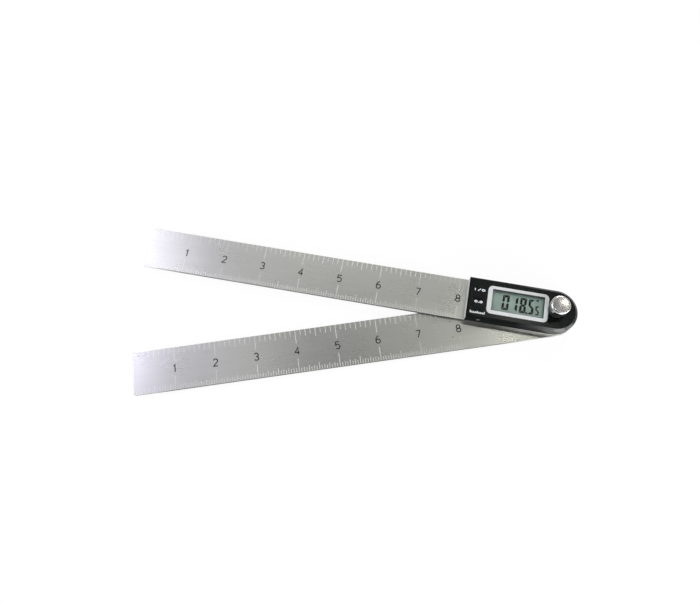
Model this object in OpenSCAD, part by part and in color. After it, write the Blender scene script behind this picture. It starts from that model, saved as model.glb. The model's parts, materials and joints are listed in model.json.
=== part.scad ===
// Digital angle finder: two steel rule arms that turn about one pivot. A housing with a
// display, two buttons and a coin cell is screwed to the upper arm, and a capped knob on the
// pivot's threaded stud locks the two arms together.
//
// Frame: millimetres, +Z up. The origin is on the pivot's axis, on the underside of the
// lower arm. The lower arm points along -X. The upper arm opens towards +Y.

/* [Arms] */
// Length of each arm, from the pivot's axis to its square tip
arm_length = 262.8; // [180:0.2:420]
// Width of each arm, which is also the diameter of its round end
arm_width = 27; // [26.6:0.1:36]
// Thickness of each arm's steel
arm_thickness = 2; // [1.8:0.1:3]
// Space between the two arms, which the slip washer fills
arm_gap = 0.2; // [0.15:0.05:0.6]
// Angle between the two arms
opening_angle = 18.55; // [0:0.05:180]

/* [Pivot] */
// Radius of the spindle's wide flange, which the bush turns on
flange_r = 9; // [8:0.1:9.5]
// Radial wall of the bush in the upper arm
bush_wall = 1.15; // [0.8:0.05:1.3]
// Radius of the shoulder that carries the rotor disc
shoulder_r = 6; // [4.5:0.1:7]
// Radius of the spigot that centres the rotor disc
spigot_r = 3.9; // [3.3:0.1:4.3]
// Radius of the threaded stud, over its thread
stud_r = 2.9; // [2.4:0.1:3]
// Depth of the flat that keys the pressure washer to the stud
stud_flat_depth = 0.5; // [0.3:0.1:0.8]
// Length of stud that stands above the housing
stud_reach = 4.2; // [3:0.1:4.6]
// Radial clearance of the bush on the flange
running_gap = 0.05; // [0.02:0.01:0.1]
// Radius of the circle that the pivot screws stand on
pivot_screw_circle_r = 5.8; // [5.4:0.1:6.2]
// Number of pivot screws
pivot_screw_count = 3; // [2:1:4]

/* [Lock knob] */
// Radius of the knob's polished cap
cap_r = 5.9; // [5.3:0.1:6.3]
// Height of the cap
cap_height = 4.2; // [4:0.1:8]
// Rise of the cap's domed top
cap_dome = 0.6; // [0.2:0.1:1]
// Bevel round the cap's upper edge
cap_bevel = 0.8; // [0.2:0.1:1.2]
// Radius of the fluted grip under the cap
grip_r = 5.2; // [4.9:0.1:5.4]
// Height of the grip
grip_height = 6.2; // [4.8:0.1:9]
// Number of flutes round the grip
flute_count = 18; // [8:1:24]
// Radial wall of the threaded insert in the knob
insert_wall = 1; // [0.6:0.1:1.2]
// Thickness of the pressure washer under the knob
pressure_washer_t = 0.5; // [0.3:0.1:1]
// Radius of the pressure washer
pressure_washer_r = 4.4; // [4:0.1:4.6]

/* [Housing] */
// Thickness of the housing's side walls
wall = 1.4; // [1:0.1:1.5]
// Thickness of the housing's top wall
top_wall = 1.2; // [0.9:0.1:1.5]
// Bevel along the housing's sides and round end
side_bevel = 1.6; // [0.4:0.1:1.8]
// Bevel across the housing's square end
end_bevel = 1; // [0.3:0.1:1.2]
// Radius of the posts that take the cover screws
cover_post_r = 1.9; // [1.6:0.1:2]
// Height of the tray that lines the housing
tray_height = 1.6; // [1.4:0.1:1.8]

/* [Display] */
// Distance from the pivot's axis to the bezel's near end
bezel_start = 4.8; // [4.7:0.1:6.8]
// Length of the bezel
bezel_length = 37.4; // [36:0.1:46]
// Width of the bezel
bezel_width = 18.3; // [17.6:0.1:19]
// Radius of the bezel's corners
bezel_corner_r = 2.8; // [1.5:0.1:3.5]
// Height of the bezel above the housing's top
bezel_proud = 0.2; // [0.1:0.05:0.5]
// Length of the window that the bezel frames
window_length = 31.6; // [26:0.1:33]
// Width of the window that the bezel frames
window_width = 13.4; // [10:0.1:14]
// Depth of the window below the bezel's top
window_recess = 1.4; // [1.1:0.1:2]
// Thickness of the clear window
window_t = 0.7; // [0.5:0.1:1]
// Thickness of the display glass
glass_t = 1.4; // [1.1:0.1:2]
// Height of the rubber contact strips between the board and the glass
strip_height = 0.7; // [0.6:0.1:2]

/* [Buttons] */
// Sideways place of the power button
power_v = 1; // [0.5:0.1:1.5]
// Length of a button
button_length = 7; // [5.6:0.1:9]
// Width of a button, which is twice its end radius
button_width = 3.6; // [3:0.1:3.9]
// Height of a button above the housing's top
button_proud = 0.5; // [0.4:0.1:1]
// Travel of a button
button_travel = 0.3; // [0.2:0.05:0.35]

/* [Coin cell] */
// Radius of the coin cell
cell_r = 10; // [8:0.1:10]
// Thickness of the coin cell
cell_t = 3.2; // [2.8:0.1:4]
// Thickness of the battery cover's disc
battery_cover_t = 0.8; // [0.7:0.1:1]
// Angle that frees the battery cover's lugs
unlock_angle = 35; // [30:1:60]
// Length of the slot for a coin in the battery cover
coin_slot_length = 14; // [8:0.5:16]
// Width of the slot for a coin in the battery cover
coin_slot_width = 1.6; // [1.2:0.1:2.5]

/* [Circuit] */
// Thickness of the circuit board
board_t = 0.8; // [0.6:0.1:1.2]
// Radius of the encoder's rotor disc
rotor_r = 10.8; // [10.6:0.1:11.2]
// Thickness of the encoder's rotor disc
rotor_t = 0.8; // [0.5:0.1:0.9]
// Gap between the encoder's rotor and its stator
encoder_gap = 0.25; // [0.2:0.05:0.4]
// Side of the square controller chip
chip_side = 5.6; // [4:0.1:7]

/* [Hidden] */

$fn = 72;
eps = 0.01;                 // overlap of a cut with the face it starts from
gap = 0.05;                 // clearance between pieces that are assembled face to face
slip = 0.15;                // clearance round a piece that slides or turns in a hole
cavity_gap = 0.2;           // clearance of a piece inside the housing's walls
half_width = arm_width / 2;

// Heights, from the bench upwards
lower_top_z = arm_thickness;
upper_bottom_z = lower_top_z + arm_gap;
upper_top_z = upper_bottom_z + arm_thickness;
cover_bottom_z = upper_bottom_z + gap;
cover_floor_z = cover_bottom_z + battery_cover_t;
cell_bottom_z = cover_floor_z + gap;
cell_top_z = cell_bottom_z + cell_t;
contact_t = 0.2;            // thickness of the two spring contacts
board_bottom_z = cell_top_z + contact_t;
board_top_z = board_bottom_z + board_t;
glass_bottom_z = board_top_z + strip_height;
glass_top_z = glass_bottom_z + glass_t;
window_bottom_z = glass_top_z + gap;
window_top_z = window_bottom_z + window_t;
bezel_top_z = window_top_z + window_recess;
housing_top_z = bezel_top_z - bezel_proud;
ceiling_z = housing_top_z - top_wall;
tray_top_z = upper_top_z + tray_height;

// Encoder
stator_t = 0.1;
rotor_top_z = board_bottom_z - stator_t - encoder_gap;
rotor_bottom_z = rotor_top_z - rotor_t;
flange_top_z = upper_top_z + cavity_gap;
bush_r = flange_r + running_gap + bush_wall;

// Cavity, bezel and button fits
cavity_half = half_width - wall;
fit_half = cavity_half - cavity_gap;
bezel_flange = 0.9;         // width of the side flanges that hold the bezel in from below
window_lip = 0.7;           // width of the rebate that the window sits in
window_corner_r = 0.6;
glass_end_margin = 2;       // glass hidden by the bezel at each end
glass_post_gap = 0.1;       // between the glass and the cover's posts
strip_width = 1.6;
strip_inset = 1.1;          // from the glass's side to the middle of a contact strip
button_flange = 0.5;        // width of the flange that holds a button in from below
button_flange_t = 0.5;
button_gap = 1.35;          // between the bezel and the buttons' flanges
button_end_gap = 1.2;       // between the buttons' flanges and the end wall
button_stem_r = 1.1;
dome_r = 2;
dome_h = 0.3;
dome_offset = 1.6;          // from a button's middle to its dome, towards the pivot

// Small countersunk screws that hold the spindle and the cover
screw_r = 1;                // radius over the thread
screw_head_r = 1.9;         // radius of the countersunk head
screw_head_h = 0.9;         // depth of the countersink
screw_end_gap = 0.2;        // free depth past the end of a screw
flange_floor = 0.4;         // steel left over the pivot screws' holes
post_floor = 0.6;           // plastic left over the end of a cover screw's hole
washer_inset = 0.3;         // of the slip washer inside the arms' round ends

// Small screws that hold the board and the tray
fine_screw_r = 0.7;
fine_head_r = 1.2;
fine_head_h = 0.6;
board_post_r = 1.2;

// Battery cover, from the cell outwards
ring_clearance = 0.25;
ring_wall = 0.6;
ring_inner_r = cell_r + ring_clearance;
ring_outer_r = ring_inner_r + ring_wall;
lug_reach = 0.75;
lug_r = ring_outer_r + lug_reach;
lug_t = 0.65;
lug_half_angle = 12;
lug_notch_angle = 2;        // spare angle of a notch on each side of its lug
lug_gap = 0.1;              // clearance above and below a lug
lug_bottom_z = upper_top_z + lug_gap;
lug_top_z = lug_bottom_z + lug_t;
pocket_top_z = lug_top_z + lug_gap;
coin_slot_depth = 0.5;

// Cell and its contacts
cell_step_height = 0.5;     // height of the narrower negative end, towards the board
cell_step_width = 1.2;
leaf_length = 12;
leaf_width = 3;
side_contact_half = 4;

// Places along the upper arm, from the pivot outwards
stator_inset = 0.8;         // from the spindle's shoulder to the stator's copper
stator_rim = 0.3;           // from the stator's copper to the rotor's edge
chip_gap = 1.2;             // between the rotor's edge and the chip
chip_t = 1;
chip_u = rotor_r + chip_gap + chip_side / 2;
crystal_r = 0.6;
crystal_length = 4.5;
crystal_spacing = 2.6;
capacitor_length = 0.8;
capacitor_width = 1.6;
capacitor_height = 0.7;
capacitor_pitch = 2;
capacitor_spacing = 2.4;
tray_gap = 1;               // between the chip and the tray
tray_margin = 0.8;          // width of the tray past the lugs' reach
tray_start_u = chip_u + chip_side / 2 + tray_gap;
cell_u = tray_start_u + tray_margin + lug_r;
tray_post_r = 1;
tray_post_inset = 1.4;
tray_post_u = [tray_start_u + tray_post_inset, 2 * cell_u - tray_start_u - tray_post_inset];
display_u = bezel_start + bezel_length / 2;
button_u = bezel_start + bezel_length + button_gap + button_flange + button_length / 2;
cavity_end_u = button_u + button_length / 2 + button_flange + button_end_gap;
housing_length = cavity_end_u + wall;
cover_post_spacing = 0.3;   // between the tray and the first cover posts
cover_screw_inset = 3.1;    // from the housing's side to a cover screw
cover_screw_end_gap = 3;    // from the end wall's inside to the outer cover screws
cover_screw_u = [
    tray_start_u - cover_post_r - cover_post_spacing,
    cavity_end_u - cover_screw_end_gap
];
cover_screw_v = half_width - cover_screw_inset;
glass_half = cover_screw_v - cover_post_r - glass_post_gap;
side_screw_spacing = 3.8;   // from an outer cover screw to a side screw
side_screw_rise = 1.2;      // of a side screw above the board
side_lug_width = 2.2;
side_lug_t = 1;
side_lug_rise = 1.4;        // of a lug above its screw
side_hole_start = 1;        // how far inside the wall a side screw's hole begins
side_screw_u = cover_screw_u[1] - side_screw_spacing;
side_screw_z = board_top_z + side_screw_rise;

// Places across the upper arm
button_pitch = button_width + 2 * (button_flange + board_post_r + cavity_gap);
zero_v = power_v - button_pitch;
board_post_v = [power_v - button_pitch / 2, power_v + button_pitch / 2];

// Pivot
stud_clearance = 0.5;       // of the housing and the board round the stud
sleeve_wall = 1;
stud_hole_r = stud_r + stud_clearance;
sleeve_r = stud_hole_r + sleeve_wall;
stud_top_z = housing_top_z + stud_reach;
cover_post_top_z = min(window_bottom_z, ceiling_z - gap - button_flange_t - button_travel) - slip;

// Knob
washer_bottom_z = housing_top_z + gap;
washer_top_z = washer_bottom_z + pressure_washer_t;
knob_bottom_z = washer_top_z + gap;
cap_bottom_z = knob_bottom_z + grip_height;
cap_top_z = cap_bottom_z + cap_height;
cap_foot_bevel = 0.3;
peg_r = 4.2;                // radius of the grip's peg, which the cap is pressed on
peg_height = 2.5;
flute_r = 0.45;
flute_depth = 0.25;
insert_r = stud_r + running_gap + insert_wall;
insert_top_z = stud_top_z + screw_end_gap;

// ---------------------------------------------------------------------------
// Shapes that repeat

// Puts children in the upper arm's frame: the arm lies along -X there
module on_upper_arm() {
    rotate([0, 0, -opening_angle])
        children();
}

// A place on the upper arm: u is the distance from the pivot, v is sideways
module at_uv(u, v) {
    translate([-u, v, 0])
        children();
}

// A cylinder between two heights
module disc(r, z0, z1) {
    translate([0, 0, z0])
        cylinder(r = r, h = z1 - z0);
}

// A ring between two heights
module ring(inner_r, outer_r, z0, z1) {
    difference() {
        disc(outer_r, z0, z1);
        disc(inner_r, z0 - eps, z1 + eps);
    }
}

// A flat blade outline: round about the pivot, square at length
module blade_outline(length, half) {
    union() {
        circle(r = half);
        translate([-length, -half])
            square([length, 2 * half]);
    }
}

// A rectangle with round corners, centred
module round_rectangle(length, width, r) {
    union() {
        square([length - 2 * r, width], center = true);
        square([length, width - 2 * r], center = true);
        for (sx = [-1, 1], sy = [-1, 1])
            translate([sx * (length / 2 - r), sy * (width / 2 - r)])
                circle(r = r);
    }
}

// A plate with round corners between two heights
module round_plate(length, width, r, z0, z1) {
    translate([0, 0, z0])
        linear_extrude(height = z1 - z0)
            round_rectangle(length, width, r);
}

// A countersunk screw, head down, its head's face at height z
module countersunk_screw(z, length) {
    translate([0, 0, z])
        union() {
            cylinder(r1 = screw_head_r, r2 = screw_r, h = screw_head_h);
            cylinder(r = screw_r, h = length);
        }
}

// The hole for a countersunk screw through one arm whose underside is at height z
module countersunk_hole(z) {
    translate([0, 0, z])
        union() {
            translate([0, 0, -eps])
                cylinder(r1 = screw_head_r + gap + eps, r2 = screw_r + gap, h = screw_head_h + eps);
            cylinder(r = screw_r + gap, h = arm_thickness + eps);
        }
}

// Places children at each pivot screw
module at_pivot_screws() {
    for (i = [0:pivot_screw_count - 1])
        rotate([0, 0, 90 + i * 360 / pivot_screw_count])
            translate([pivot_screw_circle_r, 0, 0])
                children();
}

// Places children at each cover screw
module at_cover_screws() {
    for (u = cover_screw_u, side = [-1, 1])
        at_uv(u, side * cover_screw_v)
            children();
}

// Places children at each board screw
module at_board_screws() {
    for (v = board_post_v)
        at_uv(button_u, v)
            children();
}

// Places children at each side screw, with +X pointing out of the wall
module at_side_screws() {
    for (side = [-1, 1])
        at_uv(side_screw_u, 0)
            translate([0, 0, side_screw_z])
                rotate([0, 0, side * 90])
                    children();
}

// A cylinder along +X between two distances
module side_pin(r, x0, x1) {
    translate([x0, 0, 0])
        rotate([0, 90, 0])
            cylinder(r = r, h = x1 - x0);
}

// ---------------------------------------------------------------------------
// Pieces that stay with the lower arm

module lower_arm() {
    color([0.72, 0.72, 0.70])
        difference() {
            linear_extrude(height = arm_thickness)
                blade_outline(arm_length, half_width);
            at_pivot_screws()
                countersunk_hole(0);
        }
}

module pivot_spindle() {
    color([0.66, 0.66, 0.68])
        difference() {
            union() {
                disc(flange_r, lower_top_z, flange_top_z);
                disc(shoulder_r, lower_top_z, rotor_bottom_z);
                disc(spigot_r, lower_top_z, rotor_top_z);
                disc(stud_r, lower_top_z, stud_top_z);
            }
            at_pivot_screws()
                disc(screw_r + gap, lower_top_z - eps, flange_top_z - flange_floor);
            translate([stud_r - stud_flat_depth, -stud_r, housing_top_z])
                cube([stud_r, 2 * stud_r, stud_reach + eps]);
        }
}

module pivot_screws() {
    color([0.55, 0.55, 0.57])
        at_pivot_screws()
            countersunk_screw(gap, flange_top_z - flange_floor - screw_end_gap - gap);
}

module slip_washer() {
    color([0.15, 0.15, 0.16])
        ring(flange_r + cavity_gap, half_width - washer_inset, lower_top_z, upper_bottom_z - gap);
}

module encoder_rotor() {
    color([0.10, 0.36, 0.20])
        ring(spigot_r, rotor_r, rotor_bottom_z, rotor_top_z);
}

// ---------------------------------------------------------------------------
// Pieces that stay with the upper arm

module upper_arm() {
    color([0.72, 0.72, 0.70])
        on_upper_arm()
            difference() {
                translate([0, 0, upper_bottom_z])
                    linear_extrude(height = arm_thickness)
                        blade_outline(arm_length, half_width);
                disc(bush_r, upper_bottom_z - eps, upper_top_z + eps);
                at_cover_screws()
                    countersunk_hole(upper_bottom_z);
                at_uv(cell_u, 0) {
                    disc(ring_outer_r + slip, upper_bottom_z - eps, upper_top_z + eps);
                    rotate([0, 0, -unlock_angle])
                        lug_pair(lug_r + slip, lug_half_angle + lug_notch_angle,
                                 upper_bottom_z - eps, upper_top_z + eps);
                }
            }
}

module pivot_bush() {
    color([0.70, 0.55, 0.28])
        on_upper_arm()
            ring(flange_r + running_gap, bush_r, upper_bottom_z, upper_top_z);
}

// The housing's outside: a bevelled bar with a round end about the pivot
module cover_outside() {
    side = [
        [0, upper_top_z],
        [half_width, upper_top_z],
        [half_width, housing_top_z - side_bevel],
        [half_width - side_bevel, housing_top_z],
        [0, housing_top_z]
    ];
    lengthwise = [
        [0, upper_top_z],
        [-housing_length, upper_top_z],
        [-housing_length, housing_top_z - end_bevel],
        [-housing_length + end_bevel, housing_top_z],
        [0, housing_top_z]
    ];
    union() {
        rotate_extrude()
            polygon(side);
        intersection() {
            rotate([90, 0, -90])
                linear_extrude(height = housing_length)
                    union() {
                        polygon(side);
                        mirror([1, 0])
                            polygon(side);
                    }
            translate([0, half_width, 0])
                rotate([90, 0, 0])
                    linear_extrude(height = arm_width)
                        polygon(lengthwise);
        }
    }
}

// An oval along the arm's length: the outline of a button
module button_outline(grow) {
    round_rectangle(button_length + 2 * grow, button_width + 2 * grow,
                    button_width / 2 + grow - eps);
}

module button_column(grow, z0, z1) {
    translate([0, 0, z0])
        linear_extrude(height = z1 - z0)
            button_outline(grow);
}

module housing_cover() {
    color([0.06, 0.07, 0.07])
        on_upper_arm()
            difference() {
                union() {
                    difference() {
                        cover_outside();
                        translate([0, 0, upper_top_z - eps])
                            linear_extrude(height = ceiling_z - upper_top_z + eps)
                                blade_outline(cavity_end_u, cavity_half);
                    }
                    // sleeve round the stud
                    disc(sleeve_r, board_top_z + gap, ceiling_z + eps);
                    // posts for the cover screws, joined to the side walls
                    at_cover_screws()
                        disc(cover_post_r, upper_top_z, cover_post_top_z);
                    // posts for the board screws
                    at_board_screws()
                        disc(board_post_r, board_top_z, ceiling_z + eps);
                }
                disc(stud_hole_r, board_top_z, housing_top_z + eps);
                at_uv(display_u, 0)
                    round_plate(bezel_length + 2 * gap, bezel_width + 2 * gap, bezel_corner_r + gap,
                                ceiling_z - eps, housing_top_z + eps);
                for (v = [power_v, zero_v])
                    at_uv(button_u, v)
                        button_column(slip, ceiling_z - eps, housing_top_z + eps);
                at_cover_screws()
                    disc(screw_r + gap, upper_top_z - eps, cover_post_top_z - post_floor);
                at_board_screws()
                    disc(fine_screw_r + gap, board_top_z - eps, ceiling_z - screw_end_gap);
                at_side_screws() {
                    side_pin(fine_screw_r + gap, cavity_half - side_hole_start, half_width + eps);
                    side_pin(fine_head_r + gap, half_width - fine_head_h, half_width + eps);
                }
            }
}

module cover_screws() {
    color([0.55, 0.55, 0.57])
        on_upper_arm()
            at_cover_screws()
                countersunk_screw(upper_bottom_z + gap,
                                  cover_post_top_z - post_floor - screw_end_gap
                                  - upper_bottom_z - gap);
}

module side_screws() {
    color([0.72, 0.73, 0.75])
        on_upper_arm()
            at_side_screws() {
                side_pin(fine_screw_r, fit_half - side_lug_t, half_width - fine_head_h);
                side_pin(fine_head_r, half_width - fine_head_h, half_width);
            }
}

// The tray inside the housing: it rings the cell, lines the square end and carries the board
module housing_tray() {
    length = cavity_end_u - cavity_gap - tray_start_u;
    color([0.16, 0.16, 0.17])
        on_upper_arm()
            difference() {
                union() {
                    translate([-tray_start_u - length, -fit_half, upper_top_z])
                        cube([length, 2 * fit_half, tray_height]);
                    for (u = tray_post_u, side = [-1, 1])
                        at_uv(u, side * (fit_half - tray_post_r - cavity_gap))
                            disc(tray_post_r, tray_top_z - eps, board_bottom_z);
                    for (side = [-1, 1])
                        at_uv(side_screw_u, side * (fit_half - side_lug_t / 2))
                            translate([-side_lug_width / 2, -side_lug_t / 2, tray_top_z - eps])
                                cube([side_lug_width, side_lug_t,
                                      side_screw_z + side_lug_rise - tray_top_z]);
                }
                at_uv(cell_u, 0) {
                    disc(ring_inner_r + 2 * gap, upper_top_z - eps, tray_top_z + eps);
                    disc(lug_r + cavity_gap, upper_top_z - eps, pocket_top_z);
                }
                at_cover_screws()
                    disc(cover_post_r + cavity_gap, upper_top_z - eps, tray_top_z + eps);
                at_side_screws()
                    side_pin(fine_screw_r + gap, fit_half - side_lug_t - eps, fit_half + eps);
            }
}

module display_bezel() {
    color([0.80, 0.82, 0.81])
        on_upper_arm()
            at_uv(display_u, 0)
                difference() {
                    union() {
                        round_plate(bezel_length, bezel_width, bezel_corner_r,
                                    window_bottom_z, bezel_top_z);
                        round_plate(bezel_length, bezel_width + 2 * bezel_flange, bezel_corner_r,
                                    window_bottom_z, ceiling_z - gap);
                    }
                    round_plate(window_length, window_width, window_corner_r, window_bottom_z - eps,
                                bezel_top_z + eps);
                    round_plate(window_length + 2 * window_lip, window_width + 2 * window_lip,
                                window_corner_r + window_lip, window_bottom_z - eps, window_top_z);
                }
}

module display_window() {
    color([0.85, 0.90, 0.88, 0.4])
        on_upper_arm()
            at_uv(display_u, 0)
                round_plate(window_length + 2 * (window_lip - gap),
                            window_width + 2 * (window_lip - gap),
                            window_corner_r + window_lip - gap, window_bottom_z, window_top_z);
}

module display_glass() {
    length = window_length + 2 * glass_end_margin;
    color([0.62, 0.70, 0.66])
        on_upper_arm()
            at_uv(display_u, 0)
                translate([-length / 2, -glass_half, glass_bottom_z])
                    cube([length, 2 * glass_half, glass_t]);
}

module contact_strips() {
    color([0.85, 0.45, 0.40])
        on_upper_arm()
            for (side = [-1, 1])
                at_uv(display_u, side * (glass_half - strip_inset))
                    translate([-window_length / 2, -strip_width / 2, board_top_z])
                        cube([window_length, strip_width, strip_height]);
}

module circuit_board() {
    board_half = fit_half - cavity_gap;
    color([0.10, 0.36, 0.20])
        on_upper_arm()
            difference() {
                translate([0, 0, board_bottom_z])
                    linear_extrude(height = board_t)
                        blade_outline(cavity_end_u - 2 * cavity_gap, board_half);
                disc(stud_hole_r, board_bottom_z - eps, board_top_z + eps);
                at_cover_screws()
                    disc(cover_post_r + cavity_gap, board_bottom_z - eps, board_top_z + eps);
                at_board_screws()
                    disc(fine_screw_r + gap, board_bottom_z - eps, board_top_z + eps);
                for (side = [-1, 1])
                    at_uv(side_screw_u, side * (fit_half - side_lug_t / 2))
                        translate([-side_lug_width / 2 - cavity_gap, -side_lug_t / 2 - cavity_gap,
                                   board_bottom_z - eps])
                            cube([side_lug_width + 2 * cavity_gap, side_lug_t + 2 * cavity_gap,
                                  board_t + 2 * eps]);
            }
}

module encoder_stator() {
    color([0.80, 0.50, 0.25])
        on_upper_arm()
            ring(shoulder_r + stator_inset, rotor_r - stator_rim, board_bottom_z - stator_t,
                 board_bottom_z);
}

module controller_chip() {
    color([0.08, 0.08, 0.09])
        on_upper_arm()
            at_uv(chip_u, 0)
                translate([-chip_side / 2, -chip_side / 2, board_bottom_z - chip_t])
                    cube([chip_side, chip_side, chip_t]);
}

module clock_crystal() {
    color([0.75, 0.75, 0.76])
        on_upper_arm()
            at_uv(chip_u, chip_side / 2 + crystal_spacing)
                translate([-crystal_length / 2, 0, board_bottom_z - crystal_r])
                    rotate([0, 90, 0])
                        cylinder(r = crystal_r, h = crystal_length);
}

module chip_capacitors() {
    color([0.70, 0.60, 0.45])
        on_upper_arm()
            for (i = [-1:1])
                at_uv(chip_u + i * capacitor_pitch, -chip_side / 2 - capacitor_spacing)
                    translate([-capacitor_length / 2, -capacitor_width / 2,
                               board_bottom_z - capacitor_height])
                        cube([capacitor_length, capacitor_width, capacitor_height]);
}

module switch_domes() {
    color([0.78, 0.78, 0.80])
        on_upper_arm()
            for (v = [power_v, zero_v])
                at_uv(button_u - dome_offset, v)
                    disc(dome_r, board_top_z, board_top_z + dome_h);
}

module board_screws() {
    color([0.55, 0.55, 0.57])
        on_upper_arm()
            at_board_screws() {
                disc(fine_head_r, board_bottom_z - fine_head_h, board_bottom_z);
                disc(fine_screw_r, board_bottom_z - eps, ceiling_z - 2 * screw_end_gap);
            }
}

module coin_cell() {
    color([0.80, 0.80, 0.82])
        on_upper_arm()
            at_uv(cell_u, 0)
                union() {
                    disc(cell_r, cell_bottom_z, cell_top_z - cell_step_height);
                    disc(cell_r - cell_step_width, cell_bottom_z, cell_top_z);
                }
}

module cell_contact_top() {
    color([0.82, 0.70, 0.35])
        on_upper_arm()
            at_uv(cell_u, 0)
                translate([-leaf_length / 2, -leaf_width / 2, cell_top_z])
                    cube([leaf_length, leaf_width, contact_t]);
}

module cell_contact_side() {
    color([0.82, 0.70, 0.35])
        on_upper_arm()
            at_uv(cell_u, 0)
                intersection() {
                    ring(cell_r + gap, ring_inner_r + gap, pocket_top_z + gap, board_bottom_z);
                    translate([-2 * cell_r, -side_contact_half, 0])
                        cube([2 * cell_r, 2 * side_contact_half, board_bottom_z]);
                }
}

// ---------------------------------------------------------------------------
// Battery cover: a shallow cup with two lugs that hook over the upper arm

// Two opposite sectors of a disc, across the arm
module lug_pair(r, half_angle, z0, z1) {
    for (turn = [0, 180])
        rotate([0, 0, 90 + turn])
            translate([0, 0, z0])
                linear_extrude(height = z1 - z0)
                    intersection() {
                        circle(r = r);
                        polygon([
                            [0, 0],
                            [2 * r * cos(half_angle), 2 * r * sin(half_angle)],
                            [2 * r * cos(half_angle), -2 * r * sin(half_angle)]
                        ]);
                    }
}

module battery_cover() {
    color([0.10, 0.10, 0.11])
        on_upper_arm()
            at_uv(cell_u, 0)
                difference() {
                    union() {
                        disc(ring_outer_r, cover_bottom_z, lug_top_z);
                        lug_pair(lug_r, lug_half_angle, lug_bottom_z, lug_top_z);
                    }
                    disc(ring_inner_r, cover_floor_z, lug_top_z + eps);
                    translate([-coin_slot_length / 2, -coin_slot_width / 2, cover_bottom_z - eps])
                        cube([coin_slot_length, coin_slot_width, coin_slot_depth + eps]);
                }
}

// ---------------------------------------------------------------------------
// Buttons

module button(v) {
    flange_top_z = ceiling_z - gap;
    flange_bottom_z = flange_top_z - button_flange_t;
    color([0.04, 0.04, 0.045])
        on_upper_arm()
            at_uv(button_u, v)
                union() {
                    button_column(0, flange_bottom_z, housing_top_z + button_proud);
                    button_column(button_flange, flange_bottom_z, flange_top_z);
                    at_uv(-dome_offset, 0)
                        disc(button_stem_r, board_top_z + dome_h + button_travel + gap,
                             flange_bottom_z + eps);
                }
}

module power_button() {
    button(power_v);
}

module zero_button() {
    button(zero_v);
}

// ---------------------------------------------------------------------------
// Lock knob, its insert and the pressure washer under it

module pressure_washer() {
    color([0.60, 0.60, 0.62])
        difference() {
            disc(pressure_washer_r, washer_bottom_z, washer_top_z);
            intersection() {
                disc(stud_r + running_gap, washer_bottom_z - eps, washer_top_z + eps);
                translate([-2 * stud_r, -2 * stud_r, 0])
                    cube([3 * stud_r - stud_flat_depth + gap, 4 * stud_r, cap_top_z]);
            }
        }
}

module knob_grip() {
    color([0.08, 0.08, 0.09])
        difference() {
            union() {
                disc(grip_r, knob_bottom_z, cap_bottom_z);
                disc(peg_r, knob_bottom_z, cap_bottom_z + peg_height);
            }
            disc(insert_r, knob_bottom_z - eps, insert_top_z);
            for (i = [0:flute_count - 1])
                rotate([0, 0, i * 360 / flute_count])
                    translate([grip_r + flute_r - flute_depth, 0, 0])
                        disc(flute_r, knob_bottom_z - eps, cap_bottom_z + eps);
        }
}

module knob_cap() {
    dome_sphere_r = (pow(cap_r, 2) + pow(cap_dome, 2)) / (2 * cap_dome);
    color([0.85, 0.85, 0.83])
        difference() {
            rotate_extrude()
                intersection() {
                    polygon([
                        [0, cap_bottom_z],
                        [cap_r - cap_foot_bevel, cap_bottom_z],
                        [cap_r, cap_bottom_z + cap_foot_bevel],
                        [cap_r, cap_top_z - cap_dome - cap_bevel],
                        [cap_r - cap_bevel - cap_dome, cap_top_z],
                        [0, cap_top_z]
                    ]);
                    translate([0, cap_top_z - dome_sphere_r])
                        circle(r = dome_sphere_r, $fn = 180);
                }
            disc(peg_r, cap_bottom_z - eps, cap_bottom_z + peg_height);
        }
}

module knob_insert() {
    color([0.80, 0.65, 0.30])
        ring(stud_r + running_gap, insert_r, knob_bottom_z, insert_top_z);
}

// ---------------------------------------------------------------------------
// Drawing

lower_arm();
pivot_spindle();
pivot_screws();
slip_washer();
encoder_rotor();
upper_arm();
pivot_bush();
housing_tray();
housing_cover();
cover_screws();
side_screws();
display_bezel();
display_window();
display_glass();
contact_strips();
circuit_board();
encoder_stator();
controller_chip();
clock_crystal();
chip_capacitors();
switch_domes();
board_screws();
coin_cell();
cell_contact_top();
cell_contact_side();
battery_cover();
power_button();
zero_button();
pressure_washer();
knob_grip();
knob_cap();
knob_insert();
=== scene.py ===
"""Looks of a digital angle finder: two steel rule arms, a housing with a display and a lock knob.

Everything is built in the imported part's frame. The origin is on the pivot's axis, on the
underside of the lower arm. Sizes are in millimetres here and are turned into metres where
meshes are made.
"""

import json
import logging
import math
from dataclasses import dataclass, field
from enum import Enum
from typing import Iterable, Sequence

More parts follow.
